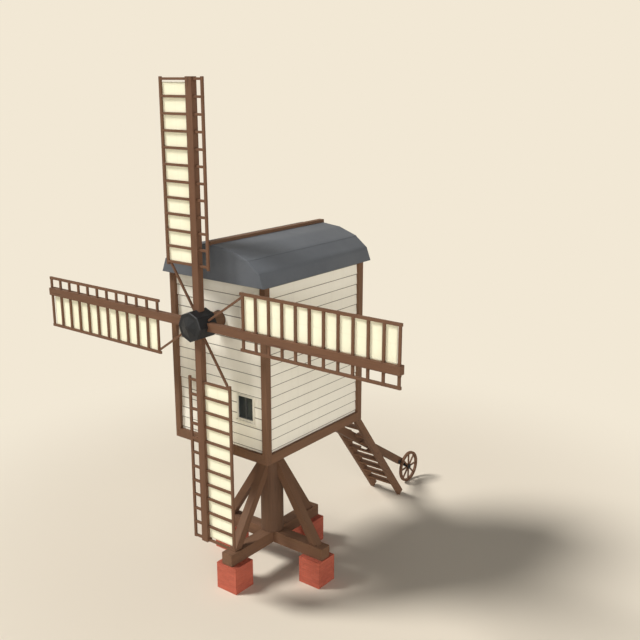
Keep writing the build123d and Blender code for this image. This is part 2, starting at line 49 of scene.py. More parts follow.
BOARD_PITCH = 0.3445        # a board shows this much of its face
BOARD_FIRST = 0.085         # lower edge of the first full board over the sill
BOARD_LAP = 0.03            # tucked under the board above
BOARD_BUTT = 0.030          # thickness at the lower edge
BOARD_FEATHER = 0.008       # thickness at the upper edge
WALL_TURNS = (("front", 0), ("rear", 180), ("right", 90), ("left", 270))
SHAFT_HOLE_ROOM = 0.02      # boards clear of the windshaft
SHAFT_CUTTER = 0.6          # length of the cutter for that hole
CUT_THROUGH = 0.1           # cutters reach this far past an opening's casing
NAIL_RISE = 0.06            # nails over the lower edge of a board
NAIL_END = 0.06             # outer nails from the ends of a board
NAIL_CLEAR = 0.03           # nails clear of an opening
NAIL_SUNK = 0.001
BRICK_LENGTH = 0.2075
BRICK_WIDTH = 0.09875
BRICK_JOINT = 0.010
BRICK_COURSES = 12
BED_JOINT = 0.011
BRICK_STEP = BRICK_LENGTH + BRICK_JOINT
BRICK_INSET = BRICK_WIDTH + BRICK_JOINT
JOINT_RECESS = 0.006        # mortar behind the faces of the bricks
CLOTH_SAG = 0.005           # belly of the cloth between two bars
CLOTH_HEM = 0.045
CLOTH_THICKNESS = 0.003
CLOTH_MESH = (25, 132)      # faces across and along a cloth
SAIL_BARS = 12
SAIL_BARS_RUN = 5.341           # middle of the first bar to middle of the last
SAIL_BAR_WIDTH = 0.074
SAIL_RAILS = (-1.209, 0.473)    # middles of the rails of the upright sail, from the stock's axis
SAIL_RAIL_WIDTH = 0.086
SAIL_BAR_DEPTH = 0.060
SAIL_HORN = 0.045               # the rails of the frame end this far past the middle of a bar
RAIL_END = 0.058                # what the rails add to that at the heel
BAR_FORWARD = 0.025             # middle of the bars in front of the middle of the stock
SAIL_TURNS = (("top", 0), ("right", 90), ("bottom", 180), ("left", 270))
WEDGE_LENGTH = 0.045
WEDGE_WIDTH = 0.040
WEDGE_DEPTH = 0.024
WHEEL_SPOKES = 8
WHEEL_RIM = 0.109               # how far the rim reaches in from its outside
ROOF_FACETS = 16            # sides of the whole oval that the roof is the upper half of
FELT_STEP = 0.005           # each layer of felt stands this much outside the one below
FELT_THICKNESS = 0.004
FELT_HOLD = 0.13            # edges this far either side of an arris keep it crisp
FELT_TURN_DOWN = 0.09       # upper layers are folded this far over the ends of the roof
FELT_END_INSET = 0.03
FELT_LAYERS = (0.0, 0.405, 0.755)   # lower edge of each layer over the eaves
HALF_POST = 0.105           # half the side of a corner post
PEGS_OVER_SILL = (0.09, 0.21)
PEGS_UNDER_EAVES = (0.12, 0.26)
PEG_REACH = 1.93            # middle of a pair of pegs from the middle of a crosstree
PEG_APART = 0.09            # each peg of a pair from that
PEG_DEPTH = 0.10            # pegs under the top of a crosstree
TREAD_RISE = 0.45
HALF_TREAD = Vector((0, 0.145, 0.034))  # half the depth and thickness of a tread
STRAP_THICKNESS = 0.025
STRAP_RADIUS = 0.06
STRAP_BOLTS = (0.36, 0.52, 0.68)    # up the pole from the axle
NAIL = (0.006, 0.003, 8)    # radius, height and sides of each kind of head
FRAME_PEG = (0.016, 0.010, 8)
TRESTLE_PEG = (0.019, 0.012, 8)
TREAD_BOLT = (0.018, 0.012, 6)
STRAP_BOLT = (0.020, 0.014, 6)
RIVET = (0.009, 0.005, 8)
LATCH_BOSS = (0.014, 0.024, 16)
DOOR_BOARDS = 5
DOOR_THICKNESS = 0.024
DOOR_GAP = 0.002            # between a board's edge and the middle of its joint
HINGE_FROM_END = 0.32
HINGE_REACH = 0.62
HINGE_HALF_WIDTH = 0.028
HINGE_TAPER = 0.45          # width of the strap's tip against its root
HINGE_THICKNESS = 0.006
HINGE_RIVETS = (0.10, 0.26, 0.42, 0.57)
LATCH_FROM_EDGE = 0.10
LATCH_RING = 0.045
SILL_OVERHANG = 0.03
SILL_DEPTH = 0.035          # out from the casing
SILL_THICKNESS = 0.04
SILL_FALL = 0.010
HAIR = 0.001                # allowance where two places are compared

BACKDROP = (0.888, 0.807, 0.665)
FLOOR_COLOUR = (0.79, 0.712, 0.59)
FLOOR_RADIUS = 240
FLOOR_FADE = (8, 20)        # the floor runs out into the backdrop between these
EYE = (18.673, -24.298, 16.673)
EYE_DOWN, EYE_TURN, EYE_ROLL = 15.211, 37.563, 0.028    # degrees
LENS = 50.185               # millimetres
SKY_STRENGTH = 0.03
SKY_COLOUR = (0.97, 0.985, 1.0)
SUNS = (("key", 43, 49, 17, 3.08, (1.0, 0.985, 0.965)), ("overhead", 275, 70, 80, 0.36, (1.0, 0.99, 0.975)),
        ("fill", 138, 4, 45, 2.05, (1.0, 0.985, 0.965)), ("side fill", 178, 4, 50, 0.5, (1.0, 0.985, 0.965)))
BROWN = (0.138, 0.070, 0.038)
SAIL_BROWN = (0.143, 0.069, 0.037)

post_low, post_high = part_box("main_post")
mill_axis = Vector(((post_low.x + post_high.x) / 2, (post_low.y + post_high.y) / 2, 0))
body_low, body_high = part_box("corner_posts")
shaft_low, shaft_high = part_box("windshaft")
shaft_centre = Vector((0, mill_axis.y, (shaft_low.z + shaft_high.z) / 2))
shaft_radius = (shaft_high.x - shaft_low.x) / 2
pier_low, pier_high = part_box("pier_right")
COURSE = (pier_high.z - pier_low.z) / BRICK_COURSES
stock_low, stock_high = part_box("stock_upright")
BAR_MIDDLE = (stock_low.y + stock_high.y) / 2 - BAR_FORWARD
HEEL_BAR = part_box("sail_cloth_top")[0].z
BAR_PITCH = SAIL_BARS_RUN / (SAIL_BARS - 1)


# ---------------- joining shader nodes

def add(tree, kind, links=(), **values):
    """A node with its properties and socket values set, and its inputs linked.

    Links are (input, source); one source alone goes to the first input.
    """
    node = tree.nodes.new(kind)
    if isinstance(links, bpy.types.NodeSocket):
        links = [(0, links)]
    for key, value in values.items():
        if key in node.bl_rna.properties:
            setattr(node, key, value)
        else:
            node.inputs[key.replace("_", " ").title()].default_value = value
    for label, source in links:
        tree.links.new(source, node.inputs[label])
    return node


def maths(tree, operation, *terms):
    """One sum on values: each term is a number or another node's output."""
    node = add(tree, "ShaderNodeMath", operation=operation)
    for socket, term in zip(node.inputs, terms):
        if isinstance(term, (int, float)):
            socket.default_value = term
        else:
            tree.links.new(term, socket)
    return node.outputs[0]


def noise(tree, place, scale, detail, **more):
    node = add(tree, "ShaderNodeTexNoise", scale=scale, detail=detail, links=place, **more)
    return node.outputs[0]


def ramp(tree, source, stops):
    """A colour ramp: stops are (place, grey level)."""
    node = tree.nodes.new("ShaderNodeValToRGB")
    tree.links.new(source, node.inputs[0])
    elements = node.color_ramp.elements
    for spare in range(len(stops) - 2):
        elements.new(0.5)
    for element, (place, level) in zip(elements, stops):
        element.position = place
        element.color = (level, level, level, 1)
    return node.outputs["Color"]


def blend(tree, factor, first, second, kind="RGBA"):
    """Between first and second; each is a socket or an (r, g, b)."""
    node = add(tree, "ShaderNodeMix", data_type=kind)
    sockets = [socket for socket in node.inputs if socket.enabled]
    for socket, value in zip(sockets, (factor, first, second)):
        if isinstance(value, bpy.types.NodeSocket):
            tree.links.new(value, socket)
        else:
            socket.default_value = (*value, 1)
    return next(socket for socket in node.outputs if socket.enabled)


def measured_from(tree, place, centre):
    node = add(tree, "ShaderNodeVectorMath", operation="SUBTRACT", links=place)
    node.inputs[1].default_value = centre
    return node.outputs[0]


def face_value(tree, name):
    """A value kept on the faces of a piece."""
    node = tree.nodes.new("ShaderNodeAttribute")
    node.attribute_name = name
    return node.outputs["Fac"]


# ---------------- camera, light, floor

def deselect():
    bpy.ops.object.select_all(action="DESELECT")


def into_scene(name, data):
    thing = bpy.data.objects.new(name, data)
    bpy.context.scene.collection.objects.link(thing)
    return thing


def make_camera():
    data = bpy.data.cameras.new("camera")
    data.lens = LENS
    data.sensor_width = 36
    data.clip_end = 500
    camera = into_scene("camera", data)
    turn = Euler((radians(90 - EYE_DOWN), 0, radians(EYE_TURN))).to_matrix()
    roll = Matrix.Rotation(radians(EYE_ROLL), 3, "Z")
    camera.matrix_world = Matrix.Translation(EYE) @ (turn @ roll).to_4x4()
    bpy.context.scene.camera = camera


def sun(name, travel, elevation, softness, strength, colour):
    """A distant lamp. Its light travels this many degrees round from +X towards +Y, and down."""
    data = bpy.data.lights.new(name, "SUN")
    data.energy = strength
    data.angle = radians(softness)
    data.color = colour
    run = Vector((cos(radians(travel)) * cos(radians(elevation)),
                  sin(radians(travel)) * cos(radians(elevation)), -sin(radians(elevation))))
    into_scene(name, data).rotation_euler = run.to_track_quat("-Z", "Y").to_euler()


def seen_ray(tree):
    """1 for rays that show the background itself: to the eye, in gloss and through glass."""
    path = tree.nodes.new("ShaderNodeLightPath").outputs
    direct = maths(tree, "MAXIMUM", path["Is Camera Ray"], path["Is Glossy Ray"])
    return maths(tree, "MAXIMUM", direct, path["Is Transmission Ray"])


def plain_shader(tree, kind, colour):
    node = tree.nodes.new(kind)
    node.inputs["Color"].default_value = (*colour, 1)
    return node


def show_mix(tree, output, factor, first, second):
    """Shows the first shader, and the second as far as the factor nears 1."""
    mix = add(tree, "ShaderNodeMixShader", [(0, factor), (1, first.outputs[0]), (2, second.outputs[0])])
    add(tree, output, mix.outputs[0])


def make_world():
    world = bpy.data.worlds.new("studio")
    bpy.context.scene.world = world
    world.use_nodes = True
    tree = world.node_tree
    tree.nodes.clear()
    ambient = plain_shader(tree, "ShaderNodeBackground", SKY_COLOUR)
    ambient.inputs["Strength"].default_value = SKY_STRENGTH
    backdrop = plain_shader(tree, "ShaderNodeBackground", BACKDROP)
    show_mix(tree, "ShaderNodeOutputWorld", seen_ray(tree), ambient, backdrop)


def make_floor():
    """A wide pale disc that keeps shadows near the mill and runs out into the backdrop."""
    deselect()
    bpy.ops.mesh.primitive_circle_add(vertices=96, radius=FLOOR_RADIUS, fill_type="NGON")
    floor = bpy.context.object
    floor.name = "floor"
    material = bpy.data.materials.new("floor")
    material.use_nodes = True
    tree = material.node_tree
    tree.nodes.clear()
    place = tree.nodes.new("ShaderNodeTexCoord").outputs["Object"]
    reach = add(tree, "ShaderNodeVectorMath", operation="LENGTH", links=place)
    fade = add(tree, "ShaderNodeMapRange", interpolation_type="SMOOTHSTEP", from_min=FLOOR_FADE[0],
               from_max=FLOOR_FADE[1], links=reach.outputs["Value"])
    far = maths(tree, "MULTIPLY", fade.outputs["Result"], seen_ray(tree))
    show_mix(tree, "ShaderNodeOutputMaterial", far,
             plain_shader(tree, "ShaderNodeBsdfDiffuse", FLOOR_COLOUR),
             plain_shader(tree, "ShaderNodeEmission", BACKDROP))
    floor.data.materials.append(material)


make_camera()
make_world()
for lamp in SUNS:
    sun(*lamp)
make_floor()
bpy.context.scene.view_settings.view_transform = "Standard"


# ---------------- shared effects

def new_group(name, inputs, outputs):
    """A shader node group with named sockets, and what it is given."""
    group = bpy.data.node_groups.new(name, "ShaderNodeTree")
    for way, labels in (("INPUT", inputs), ("OUTPUT", outputs)):
        for label in labels:
            kind = "NodeSocketVector" if label in ("Vector", "Normal") else "NodeSocketFloat"
            group.interface.new_socket(label, in_out=way, socket_type=kind)
    return group, group.nodes.new("NodeGroupInput").outputs


def give(group, **results):
    """Links the results of a group to its outputs."""
    output = group.nodes.new("NodeGroupOutput")
    for label, source in results.items():
        group.links.new(source, output.inputs[label])
    return group


def grain_group():
    """Timber grain that runs along the X of the vector it is given."""
    group, given = new_group("timber grain", ("Vector", "Coarseness"), ("Tone", "Checks", "Height"))
    scaled = add(group, "ShaderNodeVectorMath", operation="SCALE",
                 links=[(0, given["Vector"]), ("Scale", given["Coarseness"])])

    def drawn_out(stretch, **settings):
        laid = add(group, "ShaderNodeMapping", scale=stretch, links=scaled.outputs[0])
        return noise(group, laid.outputs[0], 1.0, **settings)

    broad = drawn_out((0.5, 7.0, 7.0), detail=5.0, roughness=0.55, distortion=0.3)
    fibre = drawn_out((2.0, 60.0, 60.0), detail=4.0, roughness=0.6)
    split = drawn_out((0.8, 20.0, 20.0), detail=2.0, distortion=0.2)
    checks = ramp(group, split, [(0.0, 0), (0.67, 0), (0.71, 0.7), (1.0, 0.7)])
    tone = add(group, "ShaderNodeMix", [("A", broad), ("B", fibre)])
    tone.inputs["Factor"].default_value = 0.45
    height = maths(group, "SUBTRACT", tone.outputs["Result"], checks)
    return give(group, Tone=tone.outputs["Result"], Checks=checks, Height=height)


def edge_group():
    """Rounded arrises and a mask of the worn ones."""
    group, given = new_group("worn edges", ("Radius",), ("Mask", "Normal"))
    rounded = add(group, "ShaderNodeBevel", samples=4, links=given["Radius"])
    plain = group.nodes.new("ShaderNodeNewGeometry")
    meeting = add(group, "ShaderNodeVectorMath", operation="DOT_PRODUCT",
                  links=[(0, rounded.outputs[0]), (1, plain.outputs["Normal"])])
    mask = add(group, "ShaderNodeMapRange", from_min=0.985, from_max=0.82, to_min=0.0, to_max=1.0,
               links=meeting.outputs["Value"])
    return give(group, Mask=mask.outputs["Result"], Normal=rounded.outputs[0])


def patches_group():
    """Slow changes of tone over a large surface, such as fading and damp."""
    group, given = new_group("faded patches", ("Vector", "Size"), ("Tone",))
    scale = maths(group, "DIVIDE", 1.0, given["Size"])
    cloud = add(group, "ShaderNodeTexNoise", detail=4.0, roughness=0.6,
                links=[("Vector", given["Vector"]), ("Scale", scale)])
    return give(group, Tone=cloud.outputs[0])


GRAIN = grain_group()
EDGES = edge_group()
PATCHES = patches_group()


def use(tree, group, links=(), **values):
    return add(tree, "ShaderNodeGroup", links, node_tree=group, **values).outputs


def fading(tree, place, size):
    return use(tree, PATCHES, place, size=size)["Tone"]


def patched(tree, place, size, first, second):
    """Two colours in slow patches."""
    return blend(tree, ramp(tree, fading(tree, place, size), [(0.35, 0), (0.7, 1)]), first, second)


def shaded(colour, amount):
    return tuple(min(1.0, channel * amount) for channel in colour)


def start_material(name):
    """A new material, its tree, its Principled shader and a reader of Object coordinates."""
    material = bpy.data.materials.new(name)
    material.use_nodes = True
    tree = material.node_tree
    shader = tree.nodes["Principled BSDF"]
    place = tree.nodes.new("ShaderNodeTexCoord").outputs["Object"]
    return material, tree, shader, place


def bumped(tree, shader, height, strength, distance, over=None):
    """Bump from a height, over another normal where one is given."""
    links = [("Height", height)] if over is None else [("Height", height), ("Normal", over)]
    bump = add(tree, "ShaderNodeBump", strength=strength, distance=distance, links=links)
    tree.links.new(bump.outputs[0], shader.inputs["Normal"])
    return bump.outputs[0]


def rounded_bump(tree, shader, height, strength, distance, radius):
    """Bump over rounded arrises; returns the mask of the arrises."""
    edges = use(tree, EDGES, radius=radius)
    bumped(tree, shader, height, strength, distance, over=edges["Normal"])
    return edges["Mask"]


def coloured(tree, shader, base, roughness):
    """Gives a finish its colour and one roughness."""
    tree.links.new(base, shader.inputs["Base Color"])
    shader.inputs["Roughness"].default_value = roughness


# ---------------- finishes

def laid_along(tree, place, direction):
    """Coordinates turned so that X runs along the grain."""
    turn = Vector(direction).rotation_difference(Vector((1, 0, 0))).to_euler()
    return add(tree, "ShaderNodeMapping", rotation=turn, links=place).outputs[0]


def weathered(start, laid, colour, coarseness):
    """The tones, checks and worn arrises of brown timber; laid has its X along the grain."""
    material, tree, shader, place = start
    grain = use(tree, GRAIN, laid, coarseness=coarseness)
    base = blend(tree, ramp(tree, grain["Tone"], [(0.34, 0), (0.66, 1)]),
                 shaded(colour, 0.80), shaded(colour, 1.20))
    base = blend(tree, ramp(tree, fading(tree, place, 1.4), [(0.35, 0), (0.7, 0.15)]),
                 base, (0.20, 0.135, 0.09))
    base = blend(tree, grain["Checks"], base, shaded(colour, 0.45))
    worn = rounded_bump(tree, shader, grain["Height"], 0.35, 0.006, 0.014)
    base = blend(tree, maths(tree, "MULTIPLY", worn, 0.25), base, shaded(colour, 1.55))
    tree.links.new(base, shader.inputs["Base Color"])
    rough = add(tree, "ShaderNodeMapRange", to_min=0.62, to_max=0.82,
                links=grain["Tone"])
    tree.links.new(rough.outputs["Result"], shader.inputs["Roughness"])
    shader.inputs["Specular IOR Level"].default_value = 0.3
    return material


def timber(name, colour, along, coarseness=1.0):
    """Weathered brown timber whose grain runs along the given direction."""
    start = start_material(name)
    return weathered(start, laid_along(start[1], start[3], along), colour, coarseness)


def lattice_timber(name, turn):
    """Timber of one sail: grain runs along the bars, and lengthways on the two rails."""
    start = start_material(name)
    tree, place = start[1], start[3]
    upright_sail = add(tree, "ShaderNodeMapping", rotation=(0, radians(-turn), 0),
                       links=measured_from(tree, place, shaft_centre)).outputs[0]
    across = add(tree, "ShaderNodeSeparateXYZ", upright_sail).outputs["X"]
    reach = SAIL_RAIL_WIDTH / 2 + HAIR
    on_rail = maths(tree, "MAXIMUM", *[maths(tree, "COMPARE", across, rail, reach) for rail in SAIL_RAILS])
    lengthways = add(tree, "ShaderNodeMapping", rotation=(0, pi / 2, 0), links=upright_sail)
    laid = blend(tree, on_rail, upright_sail, lengthways.outputs[0], "VECTOR")
    return weathered(start, laid, SAIL_BROWN, 2.0)


def wheel_timber(name, colour):
    """Timber of the ground wheel: grain runs round the rim and out along each spoke."""
    start = start_material(name)
    tree, place = start[1], start[3]
    low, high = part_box("tail_wheel")
    wheel_radius = (high.z - low.z) / 2
    part = add(tree, "ShaderNodeSeparateXYZ",
               measured_from(tree, place, (low + high) / 2)).outputs
    angle = maths(tree, "ARCTAN2", part["Z"], part["Y"])
    squares = [maths(tree, "POWER", part[axis], 2.0) for axis in "YZ"]
    out = maths(tree, "SQRT", maths(tree, "ADD", *squares))
    apart = 2 * pi / WHEEL_SPOKES
    spoke = maths(tree, "ROUND", maths(tree, "DIVIDE", angle, apart))
    off_spoke = maths(tree, "SUBTRACT", angle, maths(tree, "MULTIPLY", spoke, apart))
    along_rim = add(tree, "ShaderNodeCombineXYZ",
                    [("X", maths(tree, "MULTIPLY", angle, wheel_radius)), ("Y", out), ("Z", part["X"])])
    along_spoke = add(tree, "ShaderNodeCombineXYZ",
                      [("X", maths(tree, "ADD", out, spoke)),
                       ("Y", maths(tree, "MULTIPLY", off_spoke, out)), ("Z", part["X"])])
    in_rim = maths(tree, "GREATER_THAN", out, wheel_radius - WHEEL_RIM)
    laid = blend(tree, in_rim, along_spoke.outputs[0], along_rim.outputs[0], "VECTOR")
    return weathered(start, laid, colour, 2.0)


def painted_lap_shadow(tree, place):
    """Mask of painted shade on each board just below the lap of the next one, where the lap's shadow falls.
    """
    level = add(tree, "ShaderNodeSeparateXYZ", place).outputs["Z"]
    from_first = maths(tree, "SUBTRACT", level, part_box("front_wall")[0].z + BOARD_FIRST)
    up_board = maths(tree, "FRACT", maths(tree, "DIVIDE", from_first, BOARD_PITCH))
    return ramp(tree, up_board, [(0.0, 0), (0.90, 0), (0.93, 0.9), (1.0, 0.9)])


def limewash(name, along, painted_lap_shade=True):
    """Limewashed boards: each has its own tone, with faint grain and rain streaks."""
    material, tree, shader, place = start_material(name)
    grain = use(tree, GRAIN, laid_along(tree, place, along), coarseness=1.0)
    each = add(tree, "ShaderNodeMapRange", face_value(tree, "tone"), to_min=0.0, to_max=1.0)
    base = blend(tree, each.outputs["Result"], (0.87, 0.835, 0.725), (0.93, 0.895, 0.785))
    base = blend(tree, ramp(tree, grain["Tone"], [(0.3, 0.14), (0.7, 0.0)]), base, (0.68, 0.63, 0.52))
    streaks = add(tree, "ShaderNodeMapping", scale=(6.0, 6.0, 0.35), links=place)
    rain = noise(tree, streaks.outputs[0], 1.0, 4.0)
    base = blend(tree, ramp(tree, rain, [(0.5, 0), (0.8, 0.14)]), base, (0.60, 0.56, 0.46))
    # painted shadow: a dark band on each board just below the lap of the next one
    if painted_lap_shade:
        base = blend(tree, painted_lap_shadow(tree, place), base, (0.105, 0.080, 0.050))
    rounded_bump(tree, shader, grain["Height"], 0.25, 0.003, 0.004)
    coloured(tree, shader, base, 0.82)
    return material


def canvas_finish():
    """Plain-woven sailcloth."""
    material, tree, shader, place = start_material("sailcloth")
    warp, weft = [add(tree, "ShaderNodeTexWave", wave_type="BANDS", bands_direction=axis, scale=90.0,
                      links=place).outputs["Fac"] for axis in "XZ"]
    base = patched(tree, place, 0.9, (0.93, 0.905, 0.675), (0.98, 0.96, 0.735))
    doubled = maths(tree, "MULTIPLY", face_value(tree, "hem"), 0.15)
    base = blend(tree, doubled, base, (0.80, 0.765, 0.56))
    soft = bumped(tree, shader, noise(tree, place, 3.5, 3.0, distortion=0.8), 0.35, 0.02)
    bumped(tree, shader, maths(tree, "MULTIPLY", warp, weft), 0.2, 0.001, over=soft)
    coloured(tree, shader, base, 0.9)
    shader.inputs["Sheen Weight"].default_value = 0.15
    return material


def felt_finish():
    """Tarred roofing felt, faded in slow patches, with lighter grit."""
    material, tree, shader, place = start_material("roofing felt")
    grit = noise(tree, place, 55.0, 3.0)
    base = patched(tree, place, 1.8, (0.084, 0.094, 0.110), (0.110, 0.121, 0.138))
    base = blend(tree, ramp(tree, grit, [(0.45, 0), (0.7, 0.2)]), base, (0.17, 0.182, 0.195))
    rounded_bump(tree, shader, grit, 0.25, 0.002, 0.01)
    coloured(tree, shader, base, 0.72)
    return material


def iron_finish():
    """Blackened cast iron with greyed corners and a little rust in the pores."""
    material, tree, shader, place = start_material("blackened iron")
    skin = noise(tree, place, 45.0, 5.0)
    base = patched(tree, place, 0.35, (0.009, 0.010, 0.012), (0.017, 0.019, 0.022))
    base = blend(tree, ramp(tree, skin, [(0.6, 0), (0.8, 0.35)]), base, (0.05, 0.034, 0.026))
    worn = rounded_bump(tree, shader, skin, 0.3, 0.003, 0.012)
    coloured(tree, shader, blend(tree, worn, base, (0.075, 0.078, 0.082)), 0.48)
    shader.inputs["Specular IOR Level"].default_value = 0.35
    shader.inputs["Metallic"].default_value = 0.15
    return material


def brick_finish():
    """Hand-made red bricks: each has its own tone, with sandy pits."""
    material, tree, shader, place = start_material("red brick")
    sand = noise(tree, place, 38.0, 5.0)
    base = blend(tree, face_value(tree, "tone"), (0.41, 0.088, 0.050), (0.50, 0.114, 0.064))
    base = blend(tree, ramp(tree, sand, [(0.45, 0), (0.75, 0.3)]), base, (0.40, 0.105, 0.062))
    rounded_bump(tree, shader, sand, 0.5, 0.004, 0.004)
    coloured(tree, shader, base, 0.85)
    return material


def mortar_finish():
    material, tree, shader, place = start_material("lime mortar")
    sand = noise(tree, place, 70.0, 4.0)
    bumped(tree, shader, sand, 0.4, 0.003)
    coloured(tree, shader, blend(tree, sand, (0.38, 0.115, 0.073), (0.45, 0.155, 0.105)), 0.95)
    return material


def glass_finish():
    """Old window glass, dark from the unlit room behind it."""
    material, tree, shader, place = start_material("window glass")
    wave = fading(tree, place, 0.3)
    bumped(tree, shader, wave, 0.1, 0.004)
    coloured(tree, shader, blend(tree, wave, (0.018, 0.024, 0.026), (0.035, 0.042, 0.044)), 0.12)
    return material


def painted_frame(name, darker, lighter, worn_colour):
    """Oil paint over joinery, rubbed through a little along its arrises."""
    material, tree, shader, place = start_material(name)
    brush = noise(tree, place, 30.0, 3.0)
    base = blend(tree, brush, darker, lighter)
    worn = rounded_bump(tree, shader, brush, 0.15, 0.002, 0.005)
    coloured(tree, shader, blend(tree, worn, base, worn_colour), 0.5)
    return material


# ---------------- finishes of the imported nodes

def paint(material, *nodes):
    for node in nodes:
        slots = NODES[node].data.materials
        slots.clear()
        slots.append(material)


def raked(node, sideways):
    """Direction of a sloping timber, from the corners of its box."""
    low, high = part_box(node)
    run, rise = (high - low)[sideways], high.z - low.z
    middle = (low + high)[sideways] / 2
    outwards = 1 if middle > mill_axis[sideways] else -1
    return (-outwards * run, 0, rise) if sideways == 0 else (0, -outwards * run, rise)


ACROSS, FORE_AND_AFT, UPRIGHT = (1, 0, 0), (0, 1, 0), (0, 0, 1)
paint(timber("brown timber across", BROWN, ACROSS),
      "pole_beam", "crown_tree", "weather_beam", "tail_beam", "door_casing")
paint(timber("brown timber fore and aft", BROWN, FORE_AND_AFT),
      "sheers", "ridge_beam", "rear_landing", "windshaft", "floor")
# Each of these timbers is the one brown made lighter or darker by its own factor. This is painted light and
# shade: the main post is darker for the shade under the buck, and the parts with a factor over one are
# lighter for the light that falls on them.
for node, finish_name, light, along in (
        ("corner_posts", "corner timber", 1.10, UPRIGHT), ("sills", "sill timber", 1.14, FORE_AND_AFT),
        ("main_post", "post timber", 0.80, UPRIGHT),
        ("crosstree_across", "foot timber across", 1.18, ACROSS),
        ("crosstree_fore_and_aft", "foot timber fore and aft", 1.18, FORE_AND_AFT),
        ("ladder_treads", "tread timber", 1.35, ACROSS)):
    paint(timber(finish_name, shaded(BROWN, light), along), node)
for node, sideways, light in (("quarterbar_right", 0, 1.06), ("quarterbar_left", 0, 1.06),
                              ("quarterbar_front", 1, 1.06), ("quarterbar_rear", 1, 1.06),
                              ("tail_pole", 1, 1.0), ("ladder_stringers", 1, 1.14)):
    paint(timber("brown timber of " + node, shaded(BROWN, light), raked(node, sideways)), node)
paint(timber("stock timber upright", SAIL_BROWN, UPRIGHT), "stock_upright")
paint(timber("stock timber across", SAIL_BROWN, ACROSS), "stock_level")
lattice = {}
for name, turn in SAIL_TURNS:
    lattice[name] = lattice_timber("lattice timber " + name, turn)
    paint(lattice[name], "sail_frame_" + name)
paint(wheel_timber("wheel timber", shaded(SAIL_BROWN, 0.92)), "tail_wheel")
iron = iron_finish()
paint(iron, "hub", "wheel_bracket", "wheel_hub")
roof_felt = felt_finish()
paint(roof_felt, "roof", "roof_end_front", "roof_end_rear")
boards_x = limewash("limewashed boards across", ACROSS)
boards_y = limewash("limewashed boards fore and aft", FORE_AND_AFT)
boards_z = limewash("limewashed door boards", UPRIGHT, painted_lap_shade=False)
paint(boards_x, "front_wall", "rear_wall")
paint(boards_y, "left_wall", "right_wall")
paint(boards_z, "rear_door")
cream = painted_frame("cream paint", (0.68, 0.645, 0.55), (0.76, 0.73, 0.62), (0.55, 0.50, 0.40))
paint(cream, "window_casing")
paint(painted_frame("dark paint", (0.028, 0.032, 0.034), (0.045, 0.050, 0.052), (0.09, 0.09, 0.09)),
      "window_sashes")
paint(glass_finish(), "window_glass")
limed_nail = painted_frame("limed nail heads", (0.50, 0.46, 0.38), (0.62, 0.58, 0.48), (0.20, 0.15, 0.11))
peg_timber = timber("oak pegs", shaded(BROWN, 0.85), UPRIGHT, coarseness=3.0)
red_brick = brick_finish()
mortar = mortar_finish()
canvas = canvas_finish()


# ---------------- making pieces by hand

def activate(piece):
    deselect()
    piece.select_set(True)
    bpy.context.view_layer.objects.active = piece


def settle(piece):
    """Puts a piece's place, turn and scale into its mesh."""
    activate(piece)
    bpy.ops.object.transform_apply(location=True, rotation=True, scale=True)
    return piece


def block(name, low, high):
    """A squared block between two corners."""
    deselect()
    low, high = Vector(low), Vector(high)
    bpy.ops.mesh.primitive_cube_add(size=1, location=(low + high) / 2)
    piece = bpy.context.object
    piece.name = name
    piece.scale = high - low
    return settle(piece)


def round_bar(sides, radius, depth, place, rotation=(0, 0, 0)):
    deselect()
    bpy.ops.mesh.primitive_cylinder_add(vertices=sides, radius=radius, depth=depth, location=place,
                                        rotation=rotation)
    return settle(bpy.context.object)


def modified(piece, kind, **settings):
    """A modifier set and applied."""
    activate(piece)
    modifier = piece.modifiers.new(kind, kind)
    for key, value in settings.items():
        setattr(modifier, key, value)
    bpy.ops.object.modifier_apply(modifier=modifier.name)
    return piece


def eased(piece, width, segments=1):
    """All arrises of a piece taken off a little."""
    return modified(piece, "BEVEL", width=width, segments=segments)


def pick(piece, mode, test):
    """Edit mode with only those vertices, edges or faces selected that pass the test."""
    activate(piece)
    bpy.ops.object.mode_set(mode="EDIT")
    bpy.ops.mesh.select_mode(type=mode)
    bpy.ops.mesh.select_all(action="DESELECT")
    mesh = bmesh.from_edit_mesh(piece.data)
    for item in {"VERT": mesh.verts, "EDGE": mesh.edges, "FACE": mesh.faces}[mode]:
        item.select_set(bool(test(item)))
    mesh.select_flush_mode()
    bmesh.update_edit_mesh(piece.data)


def done_editing():
    bpy.ops.object.mode_set(mode="OBJECT")


def bevelled(piece, test, **settings):
    """Bevels the edges whose two ends pass the test."""
    pick(piece, "EDGE", lambda edge: all(test(end.co) for end in edge.verts))
    bpy.ops.mesh.bevel(**settings)
    done_editing()


def shifted(piece, test, move):
    """Moves the edges whose two ends pass the test."""
    pick(piece, "EDGE", lambda edge: all(test(end.co) for end in edge.verts))
    bpy.ops.transform.translate(value=move)
    done_editing()


def turned_about(point, degrees, axis):
    there = Matrix.Translation(point)
    return there @ Matrix.Rotation(radians(degrees), 4, axis) @ there.inverted()


def copied(piece, name, move):
    """A copy with its own mesh, moved by a matrix."""
    twin = piece.copy()
    twin.data = piece.data.copy()
    twin.name = name
    bpy.context.scene.collection.objects.link(twin)
    twin.data.transform(move)
    return twin


def joined(name, pieces):
    """Several pieces made one."""
    deselect()
    for piece in pieces:
        piece.select_set(True)
    bpy.context.view_layer.objects.active = pieces[0]
    bpy.ops.object.join()
    pieces[0].name = name
    return pieces[0]


def cut_with(piece, *tools):
    """The tools' shapes are taken out of the piece, and the tools are thrown away."""
    for tool in tools:
        modified(piece, "BOOLEAN", object=tool, operation="DIFFERENCE", solver="EXACT")
        bpy.data.objects.remove(tool)
    return piece


def toned(piece, draw):
    """One tone for the whole piece, kept as a face attribute that its finish reads."""
    layer = piece.data.attributes.new("tone", "FLOAT", "FACE")
    layer.data.foreach_set("value", [draw.uniform(0.0, 1.0)] * len(piece.data.polygons))
    return piece


def finish_piece(piece, body, material):
    piece.data.materials.clear()
    piece.data.materials.append(material)
    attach(piece, body)
    return piece


